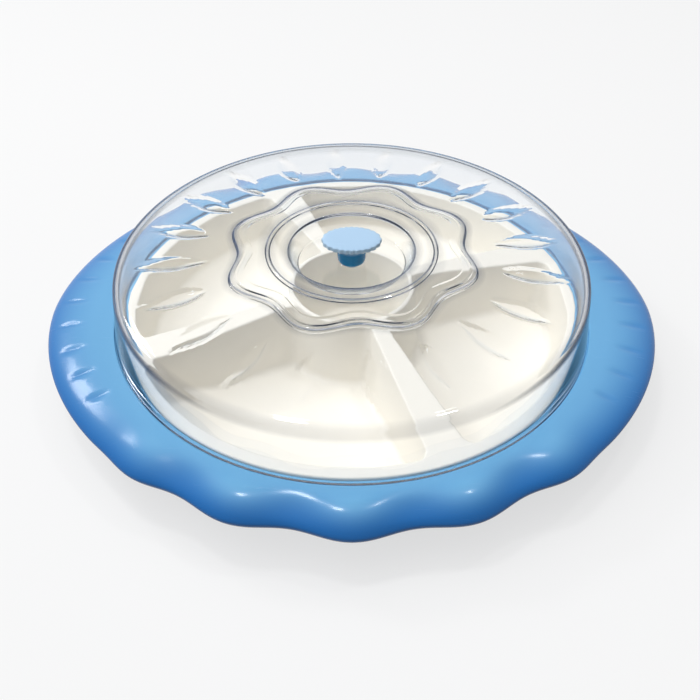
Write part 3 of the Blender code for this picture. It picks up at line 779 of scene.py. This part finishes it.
def top_height(radius):
    """Height of the insert's top surface at a distance from the axis, before anything is cut."""
    shoulder = CUP_OUTER_RADIUS + CUP_SHOULDER
    if radius >= POCKET_RIM_RADIUS:
        return BRIM_HEIGHT
    if radius >= shoulder:
        share = (radius - shoulder) / (POCKET_RIM_RADIUS - shoulder)
        return RIDGE_TOP + (BRIM_HEIGHT - RIDGE_TOP) * share
    if radius >= CUP_OUTER_RADIUS:
        return CUP_RIM_TOP + (RIDGE_TOP - CUP_RIM_TOP) * (radius - CUP_OUTER_RADIUS) / CUP_SHOULDER
    return CUP_RIM_TOP


def draft_inset(height):
    """How far the draft has drawn a pocket's wall in at a height."""
    return (CUP_RIM_TOP - height) * WALL_DRAFT


def arc_points(center, radius, start, end, steps):
    """Points along an arc, both ends included."""
    angles = [start + (end - start) * step / steps for step in range(steps + 1)]
    return [(center[0] + radius * math.cos(angle), center[1] + radius * math.sin(angle)) for angle in angles]


def pocket_outline(inset, corner):
    """Outline of a pocket round the +X axis, drawn in by an inset, with rounded corners."""
    rim_inset = draft_inset(BRIM_HEIGHT)
    inner_radius = CUP_OUTER_RADIUS + inset
    outer_radius = POCKET_RIM_RADIUS + rim_inset - inset
    cup_half = DIVIDER_WIDTH_AT_CUP / 2
    rim_half = DIVIDER_WIDTH_AT_RIM / 2 - rim_inset
    spread = math.atan((rim_half - cup_half) / (POCKET_RIM_RADIUS - CUP_OUTER_RADIUS))
    edge_angle = math.pi / POCKET_COUNT - spread
    axis_half = cup_half - CUP_OUTER_RADIUS * math.tan(spread)
    edge_distance = axis_half * math.cos(spread) + inset + corner

    def corner_center(distance):
        along = math.sqrt(distance ** 2 - edge_distance ** 2)
        return (along * math.cos(edge_angle) + edge_distance * math.sin(edge_angle),
                along * math.sin(edge_angle) - edge_distance * math.cos(edge_angle))

    outer_center = corner_center(outer_radius - corner)
    inner_center = corner_center(inner_radius + corner)
    outer_turn = math.atan2(outer_center[1], outer_center[0])
    inner_turn = math.atan2(inner_center[1], inner_center[0])
    normal_turn = edge_angle + math.pi / 2
    upper = arc_points((0, 0), outer_radius, 0, outer_turn, RIM_POINTS)
    upper += arc_points(outer_center, corner, outer_turn, normal_turn, CORNER_POINTS)[1:]
    upper += arc_points(inner_center, corner, normal_turn, inner_turn + math.pi, CORNER_POINTS)
    upper += arc_points((0, 0), inner_radius, inner_turn, 0, CORNER_POINTS)[1:]
    return upper + [(x, -y) for x, y in reversed(upper[1:-1])]


def cup_outline(inset, _corner):
    """Outline of the round cup, drawn in by an inset. A circle has no corners to round."""
    return arc_points((0, 0), CUP_RADIUS - inset, 0, math.tau, CUP_POINTS)[:-1]


print("pocket outline points:", len(pocket_outline(0, POCKET_CORNER)))

# %% [markdown]
# A cutter is a stack of outlines. From the top: a wide one above the surface, an arc that leaves the
# rounded edge, the drafted wall, and the fillet at the floor. The same stack, grown by the wall's
# thickness and without the flare, gives the insert's hollow underside.

# %% Cutters
def quarter_arc(radius):
    """Points of a quarter circle, as how far each is from either end's tangent."""
    turns = [math.pi / 2 * step / ARC_STEPS for step in range(ARC_STEPS + 1)]
    return [(radius * (1 - math.sin(turn)), radius * (1 - math.cos(turn))) for turn in turns]


def edge_levels(edge_round):
    """Flare, and depth below the top surface, of the outlines that leave a rounded edge."""
    return [(edge_round * 2, -CUT_OVERRUN), *quarter_arc(edge_round)]


def wall_levels(outset, bottom):
    """Inset, corner radius and height of the outlines from the fillet down, grown by an outset."""
    floor_height = POCKET_FLOOR - outset
    levels = []
    for rise, draw_in in quarter_arc(POCKET_FILLET + outset):
        inset = draft_inset(floor_height + rise) - outset + draw_in
        levels.append((inset, POCKET_CORNER + outset - draw_in, floor_height + rise))
    if bottom < floor_height:
        levels.append((*levels[-1][:2], bottom))
    return levels


def edge_loop(outline, flare, depth):
    """An outline at a depth below the insert's sloping top, with the draft of each point's height."""
    corner = POCKET_CORNER + flare
    placed = []
    for index, (x, y) in enumerate(outline(draft_inset(BRIM_HEIGHT) - flare, corner)):
        height = top_height(math.hypot(x, y)) - depth
        x, y = outline(draft_inset(height) - flare, corner)[index]
        placed.append((x, y, top_height(math.hypot(x, y)) - depth))
    return placed


def stack_outlines(name, loops):
    """Join outlines with equal numbers of points into one closed solid."""
    mesh_data = bmesh.new()
    rows = [[mesh_data.verts.new(point) for point in loop] for loop in loops]
    mesh_data.faces.new(rows[0])
    mesh_data.faces.new(rows[-1])
    count = len(rows[0])
    for upper, lower in zip(rows, rows[1:]):
        for index in range(count):
            after = (index + 1) % count
            mesh_data.faces.new((upper[index], upper[after], lower[after], lower[index]))
    bmesh.ops.recalc_face_normals(mesh_data, faces=mesh_data.faces)
    mesh = bpy.data.meshes.new(name)
    mesh_data.to_mesh(mesh)
    mesh_data.free()
    return add_object(name, mesh)


def make_cutter(name, outline, outset, bottom, edge_round):
    """The cutter of one pocket or of the cup, grown by an outset, down to a bottom."""
    if edge_round:
        loops = [edge_loop(outline, flare, depth) for flare, depth in edge_levels(edge_round)]
    else:
        top = CUP_RIM_TOP + CUT_OVERRUN
        loops = [[(x, y, top) for x, y in outline(draft_inset(top) - outset, POCKET_CORNER + outset)]]
    for inset, corner, height in wall_levels(outset, bottom):
        loops.append([(x, y, height) for x, y in outline(inset, corner)])
    return stack_outlines(name, loops)


# %% [markdown]
# Two trees make the insert. The first only turns a profile. The second repeats the pocket's cutter round
# the axis with Instance on Points and cuts everything out with Mesh Boolean.

# %% Geometry Nodes: insert
def make_plain_turning_tree():
    """A tree that turns a profile and does nothing else."""
    tree, given = start_tree("Turned blank", (("Segments", "Int", 240),))
    return end_tree(tree, turn_profile(tree, given), given)


def make_pocket_tree():
    """A tree that cuts a ring of pockets, a cup and a core out of a blank."""
    tree, given = start_tree("Pockets", (
        ("Pocket", "Object", None), ("Cup", "Object", None), ("Core", "Object", None),
        ("Pocket count", "Int", POCKET_COUNT),
        ("First divider", "Float", FIRST_DIVIDER_ANGLE),
    ))
    pocket, cup, core = (
        take(tree, "GeometryNodeObjectInfo", {"Object": given[title]}, "Geometry")
        for title in ("Pocket", "Cup", "Core"))
    spots = take(tree, "GeometryNodePoints", {"Count": given["Pocket count"]})
    index = take(tree, "GeometryNodeInputIndex")
    turn = (index + 0.5) / given["Pocket count"] * math.tau + given["First divider"]
    ring = take(tree, "GeometryNodeInstanceOnPoints", {
        "Points": spots, "Instance": pocket, "Rotation": take(tree, "ShaderNodeCombineXYZ", {"Z": turn})})
    cutters = add_node(tree, "GeometryNodeJoinGeometry")
    for source in (take(tree, "GeometryNodeRealizeInstances", {"Geometry": ring}), cup, core):
        feed(cutters, {0: source})
    cut = take(tree, "GeometryNodeMeshBoolean", {
        "Mesh 1": given["Geometry"], "Mesh 2": Output(cutters.outputs[0]), "Self Intersection": True},
        "Mesh", operation="DIFFERENCE", solver="EXACT")
    return end_tree(tree, cut, given)


def insert_profile():
    """Section of the insert's blank: its outside and its top, with nothing cut out yet."""
    flange_underside = BRIM_HEIGHT - INSERT_WALL
    rim_underside = INSERT_SEAT_HEIGHT + SEAT_GAP
    outside = POCKET_RIM_RADIUS + INSERT_WALL
    return round_profile([
        (0, INSERT_BOTTOM, 0),
        (outside - (BRIM_HEIGHT - INSERT_BOTTOM) * WALL_DRAFT, INSERT_BOTTOM, 0.0015),
        (outside - INSERT_WALL * WALL_DRAFT, flange_underside, 0.0004),
        (INSERT_LIP_RADIUS, flange_underside, 0.0003),
        (INSERT_LIP_RADIUS, rim_underside, 0.0002),
        (INSERT_RIM_RADIUS, rim_underside, 0.0002),
        (INSERT_RIM_RADIUS, BRIM_HEIGHT, 0.0012),
        (POCKET_RIM_RADIUS, BRIM_HEIGHT, 0.004),
        (CUP_OUTER_RADIUS + CUP_SHOULDER, RIDGE_TOP, 0.0012),
        (CUP_OUTER_RADIUS, CUP_RIM_TOP, 0.0006),
        (0, CUP_RIM_TOP, 0),
    ])


def core_profile():
    """Section of what is taken out of the insert from below: the blank's inside, a wall's thickness in."""
    return round_profile([
        (0, CORE_BOTTOM, 0),
        (POCKET_RIM_RADIUS - (BRIM_HEIGHT - CORE_BOTTOM) * WALL_DRAFT, CORE_BOTTOM, 0),
        (POCKET_RIM_RADIUS, BRIM_HEIGHT - INSERT_WALL, 0.001),
        (CUP_OUTER_RADIUS, RIDGE_TOP - INSERT_WALL, 0.001),
        (0, RIDGE_TOP - INSERT_WALL, 0),
    ])


# %% [markdown]
# The core is made first: the blank's inside, less the outsides of the pockets and the cup. Cut out of the
# insert together with the pockets and the cup themselves, it leaves a hollow underside.

# %% Make the insert
turning_tree = make_plain_turning_tree()
pocket_tree = make_pocket_tree()
core_blank = make_piece("core_blank", draw_profile("core_profile", core_profile()), turning_tree, {})
core_cutters = {
    "Pocket": make_cutter("pocket_outside", pocket_outline, INSERT_WALL, BELOW_CORE, 0),
    "Cup": make_cutter("cup_outside", cup_outline, INSERT_WALL, BELOW_CORE, 0),
}
core = make_piece("core", core_blank, pocket_tree, core_cutters)
insert_blank = make_piece("insert_blank", draw_profile("insert_profile", insert_profile()), turning_tree, {})
insert_cutters = {
    "Pocket": make_cutter("pocket_inside", pocket_outline, 0, POCKET_FLOOR, EDGE_ROUND),
    "Cup": make_cutter("cup_inside", cup_outline, 0, POCKET_FLOOR, CUP_EDGE_ROUND),
    "Core": core,
}
insert = make_piece("insert_skin", insert_blank, pocket_tree, {**insert_cutters, "Material": white_plastic})
for cutter in (*core_cutters.values(), *insert_cutters.values()):
    bpy.data.objects.remove(cutter, do_unlink=True)
insert.data.set_sharp_from_angle(angle=SHARP_EDGE_ANGLE)
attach(insert, "insert")
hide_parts("compartment_insert")

# %% [markdown]
# The lid is clear, so its shape shows only through how it bends light. That makes small forms matter: a
# rim, a steep skirt with a tight shoulder, a ring of leaf-shaped dents, a step whose outline waves in eight
# lobes, a fine bead round the middle, and a well in which the knob stands. Both skins have the dents, so
# the wall keeps its thickness there. The bead is thicker than the wall, so it acts as a small lens.

# %% Lid sizes
LID_WALL = 0.0020
LID_RIM_RADIUS = 0.1390
LID_RIM_WALL = 0.0028
LID_BOTTOM = 0.0369
LID_RIM_HEIGHT = 0.0020
SKIRT_TOP = 0.0660
SKIRT_TOP_RADIUS = 0.1350
SHOULDER_HEIGHT = 0.0030
SHOULDER_INNER_RADIUS = 0.1192
SKIRT_STRETCH = 0.0080
DOME_TOP = 0.0733
LOBE_RADIUS = 0.0692
# The crest of the lobed step: how far in from the lobes, how far above the dome, and the rounding.
LOBE_CREST = (
    (0.0000, 0.0000, 0.0006),
    (0.0010, 0.0018, 0.0008),
    (0.0034, 0.0023, 0.0012),
    (0.0050, 0.0021, 0.0012),
)
STEP_TOP = 0.0763
STEP_WIDTH = 0.0090
RING_RADIUS = 0.0479
LOBE_FADE_OUTSIDE = (LOBE_RADIUS + 0.004, LOBE_RADIUS + 0.026)
LOBE_FADE_INSIDE = (LOBE_RADIUS - STEP_WIDTH - 0.001, RING_RADIUS + 0.004)
RING_BEAD = 0.0006
RING_HALF_WIDTH = 0.0014
WELL_RADIUS = 0.0365
WELL_EDGE_DROP = 0.0006
WELL_FLOOR_RADIUS = 0.0310
WELL_FLOOR = 0.0668
LID_HOLE_RADIUS = 0.0022
PETAL_INNER_RADIUS = 0.0860
PETAL_OUTER_RADIUS = 0.1190
PETAL_STRETCH = 0.0022
PETAL_BLUNTNESS = 0.7
SEAM_SHOWS = 0.0005
PAINTED_SEAM_SHADOW = 1.75
# The painted dark edges: how far from the axis, and half their width.
LID_PAINTED_EDGES = (
    (SKIRT_TOP_RADIUS - 0.0006, 0.0048),
    (LOBE_RADIUS - 0.0008, 0.0034),
    (RING_RADIUS, 0.0024),
    (WELL_RADIUS + 0.0005, 0.0026),
)
# The dome's section, as shares of the way in to the lobes and of its rise.
DOME_SHARES = (
    (0.000, 0.00),
    (0.007, 0.30),
    (0.022, 0.52),
    (0.060, 0.68),
    (0.130, 0.77),
    (0.260, 0.84),
    (0.500, 0.92),
    (0.740, 0.97),
    (0.930, 1.00),
)


def share_of_way(value, start, end):
    """How far a value is on the way from a start to an end, from 0 to 1."""
    return min(max((value - start) / (end - start), 0.0), 1.0)


def lobe_follow(radius):
    """How much of the lobes' wave applies at a distance from the axis."""
    share = max(share_of_way(radius, *LOBE_FADE_OUTSIDE), share_of_way(radius, *LOBE_FADE_INSIDE))
    return 1.0 - share * share * (3 - 2 * share)


def petal_mark(radius):
    """How wide and deep the leaf-shaped dents are at a distance from the axis, from 0 to 1."""
    share = (radius - PETAL_INNER_RADIUS) / (PETAL_OUTER_RADIUS - PETAL_INNER_RADIUS)
    if not 0 < share < 1:
        return 0.0
    return math.sin(math.pi * share) ** PETAL_BLUNTNESS


def painted_edge_mark(radius):
    """How strongly a distance from the axis belongs to one of the lid's painted dark edges, from 0 to 1."""
    return max(max(0.0, 1 - (abs(radius - middle) / half_width) ** 2) for middle, half_width in LID_PAINTED_EDGES)


def densify(points, longest):
    """Add points so that no stretch of a profile is longer than a limit, which is finer where petals are."""
    dense = [points[0]]
    for start, end in zip(points, points[1:]):
        limit = PETAL_STRETCH if PETAL_INNER_RADIUS < start[0] < PETAL_OUTER_RADIUS else longest
        pieces = max(1, math.ceil(math.hypot(end[0] - start[0], end[1] - start[1]) / limit))
        for step in range(1, pieces + 1):
            t = step / pieces
            dense.append(tuple(a + (b - a) * t for a, b in zip(start, end)))
    return dense


def lid_skin(offset, steps, longest, bead):
    """Profile points of one skin of the lid, from the skirt's top in to the hole in the well's floor."""
    reach = SKIRT_TOP_RADIUS - LOBE_RADIUS
    corners = [
        *((SKIRT_TOP_RADIUS - reach * across, SKIRT_TOP + (DOME_TOP - SKIRT_TOP) * rise, 0.0)
          for across, rise in smooth_line(DOME_SHARES, steps)),
        *((LOBE_RADIUS - inward, DOME_TOP + upward, rounding) for inward, upward, rounding in LOBE_CREST),
        (LOBE_RADIUS - STEP_WIDTH, STEP_TOP, 0.002),
        (RING_RADIUS + RING_HALF_WIDTH, STEP_TOP, 0.0005),
        (RING_RADIUS, STEP_TOP + bead, 0.0008),
        (RING_RADIUS - RING_HALF_WIDTH, STEP_TOP, 0.0005),
        (WELL_RADIUS, STEP_TOP - WELL_EDGE_DROP, 0.0012),
        (WELL_FLOOR_RADIUS, WELL_FLOOR, 0.0015),
        (LID_HOLE_RADIUS, WELL_FLOOR, 0),
    ]
    lowered = [
        (radius - (offset if radius > SHOULDER_INNER_RADIUS else 0.0), height - offset, rounding)
        for radius, height, rounding in corners]
    return [
        (radius, height, lobe_follow(radius), petal_mark(radius), painted_edge_mark(radius))
        for radius, height, *_ in densify(round_profile(lowered), longest)]


def lid_profile():
    """The lid's closed section: outer skin from the rim to the hole, and the inner skin back."""
    rim_top = LID_BOTTOM + LID_RIM_HEIGHT
    seam_top = BRIM_HEIGHT + SEAM_SHOWS
    lean = (LID_RIM_RADIUS - SKIRT_TOP_RADIUS) * LID_RIM_HEIGHT / (SKIRT_TOP - LID_BOTTOM)
    rim = round_profile([
        (LID_RIM_RADIUS - LID_RIM_WALL, rim_top, 0),
        (LID_RIM_RADIUS - LID_RIM_WALL, LID_BOTTOM, 0.0004),
        (LID_RIM_RADIUS, LID_BOTTOM, 0.0004),
        (LID_RIM_RADIUS - lean * (seam_top - LID_BOTTOM) / LID_RIM_HEIGHT, seam_top, 0),
        (LID_RIM_RADIUS - lean, rim_top, 0),
    ])
    outside = LID_RIM_RADIUS - LID_RIM_WALL / 4
    # The rim's outer face up to just above the brim gets a mark over 1, which paints the shadow in the slit
    # between lid and brim.
    rim = [(*point, PAINTED_SEAM_SHADOW if point[0] > outside and point[1] <= seam_top else 0.0) for point in rim]
    outer = lid_skin(offset=0.0, steps=3, longest=0.0060, bead=RING_BEAD)
    inner = lid_skin(offset=LID_WALL, steps=2, longest=0.0080, bead=-RING_BEAD)
    shoulder_share = SHOULDER_HEIGHT / (SKIRT_TOP - rim_top)
    unmarked = (0.0, 0.0, 0.0)
    outer_foot, inner_foot = (
        (*(a + (b - a) * shoulder_share for a, b in zip(skin[0][:2], rim_end[:2])), *unmarked)
        for skin, rim_end in ((outer, rim[-1]), (inner, rim[0])))
    skirt = densify([rim[-1], outer_foot], SKIRT_STRETCH)[1:]
    return rim + skirt + outer + inner[::-1] + [inner_foot]


print("lid profile points:", len(lid_profile()))

# %% [markdown]
# The lid's rule has two parts. Where `follow` is marked, the radius swings in and out eight times round.
# Where `dent` is marked, the nearest of twenty evenly spaced directions decides how deep the skin is.

# %% Geometry Nodes: lid
def make_lid_tree():
    """A tree that turns the lid's profile and gives it lobes and leaf-shaped dents."""
    tree, given = start_tree("Lid", (
        ("Segments", "Int", 420),
        ("Lobe count", "Int", 8), ("Lobe height", "Float", 0.0040),
        ("Lobe dent angle", "Float", math.radians(3)),
        ("Petal count", "Int", 20), ("First petal", "Float", math.radians(6)),
        ("Petal half width", "Float", 0.0058), ("Petal depth", "Float", 0.0015),
        ("Petal flatness", "Float", 0.4), ("Narrowest petal", "Float", 0.00001),
    ))
    mesh = turn_profile(tree, given)
    angle, radius, direction = read_place(tree)
    wave = work_out("COSINE", (angle - given["Lobe dent angle"]) * given["Lobe count"])
    inward = wave * given["Lobe height"] * read_mark(tree, "follow")
    lobed = push(tree, mesh, direction, inward * -1.0, 0.0)

    dent = read_mark(tree, "dent")
    from_petal = work_out("PINGPONG", angle - given["First petal"], math.pi / given["Petal count"])
    width = work_out("MAXIMUM", dent * given["Petal half width"], given["Narrowest petal"])
    across = from_petal * radius / width
    hollow = work_out("MAXIMUM", 1.0 - across * across, 0.0)
    depth = hollow * dent ** given["Petal flatness"] * given["Petal depth"]
    return end_tree(tree, push(tree, lobed, direction, 0.0, depth * -1.0), given)


lid = make_piece(
    "lid_skin", draw_profile("lid_profile", lid_profile(), closed=True), make_lid_tree(),
    {"Material": clear_plastic})
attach(lid, "lid")
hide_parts("lid")

# %% [markdown]
# The knob is a round neck under an oval head with a finely scalloped edge. The whole knob is turned, and
# the marks of its profile say where the head begins.

# %% Knob sizes
KNOB_BOTTOM = 0.0671
KNOB_HEIGHT = 0.0155
KNOB_NECK_RADIUS = 0.0078
KNOB_NECK_FLARE = 0.0010
KNOB_FOOT_ROUND = 0.0026
KNOB_BORE_RADIUS = 0.0021
KNOB_BORE_DEPTH = 0.0100
KNOB_HEAD_HALF_LENGTH = 0.0168
KNOB_HEAD_HALF_DEPTH = 0.0119
KNOB_HEAD_THICKNESS = 0.0034
KNOB_HEAD_START = 0.0012
KNOB_HEAD_BEVEL = 0.0004
# The head's crown: how far in from its edge, how far below its top, and the rounding.
KNOB_CROWN = ((0.0022, 0.0001, 0.0006), (0.0060, 0.0, 0.001))
KNOB_STRETCH = 0.0015


def knob_profile():
    """The knob's section, from the top of its bore round to the middle of its head."""
    top = KNOB_BOTTOM + KNOB_HEIGHT
    head_bottom = top - KNOB_HEAD_THICKNESS
    neck_top = KNOB_NECK_RADIUS + KNOB_NECK_FLARE
    corners = [
        (0, KNOB_BOTTOM + KNOB_BORE_DEPTH, 0, 0),
        (KNOB_BORE_RADIUS, KNOB_BOTTOM + KNOB_BORE_DEPTH, 0, 0),
        (KNOB_BORE_RADIUS, KNOB_BOTTOM, 0.0003, 0),
        (KNOB_NECK_RADIUS, KNOB_BOTTOM, KNOB_FOOT_ROUND, 0),
        (neck_top, head_bottom, 0.0009, 0),
        (neck_top + KNOB_HEAD_START, head_bottom, 0, 0.2),
        (KNOB_HEAD_HALF_LENGTH, head_bottom + KNOB_HEAD_BEVEL, 0.0008, 1),
        (KNOB_HEAD_HALF_LENGTH, top - KNOB_HEAD_BEVEL, 0.0009, 1),
        *((KNOB_HEAD_HALF_LENGTH - inward, top - down, rounding, 1) for inward, down, rounding in KNOB_CROWN),
        (0, top, 0, 1),
    ]
    return densify(round_profile(corners), KNOB_STRETCH)


# %% [markdown]
# The knob's rule stretches every circle of the head to an oval with a fine ripple along its edge. `follow`
# is 0 on the neck, so the rule leaves it alone.

# %% Geometry Nodes: knob
def make_knob_tree():
    """A tree that turns the knob's profile and pulls its head into a scalloped oval."""
    tree, given = start_tree("Knob", (
        ("Segments", "Int", 240),
        ("Half length", "Float", KNOB_HEAD_HALF_LENGTH), ("Half depth", "Float", KNOB_HEAD_HALF_DEPTH),
        ("Scallop count", "Int", 24), ("Scallop height", "Float", 0.00028),
    ))
    mesh = turn_profile(tree, given)
    angle, radius, direction = read_place(tree)
    along = work_out("COSINE", angle) / given["Half length"]
    across = work_out("SINE", angle) / given["Half depth"]
    oval = 1.0 / work_out("SQRT", along * along + across * across)
    ripple = work_out("COSINE", angle * given["Scallop count"]) * given["Scallop height"]
    target = radius / given["Half length"] * (ripple + oval)
    outward = (target - radius) * read_mark(tree, "follow")
    return end_tree(tree, push(tree, mesh, direction, outward, 0.0), given)


knob = make_piece(
    "knob_skin", draw_profile("knob_profile", knob_profile()), make_knob_tree(),
    {"Material": light_blue_plastic})
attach(knob, "lid")
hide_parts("knob")

# %% [markdown]
# The screw and the washer under the knob keep their solids, which are already the right shape, and get
# their steel.

# %% Screw and washer
for name in ("knob_screw", "knob_washer"):
    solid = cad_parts[name]
    solid.data.materials.clear()
    solid.data.materials.append(bright_steel)
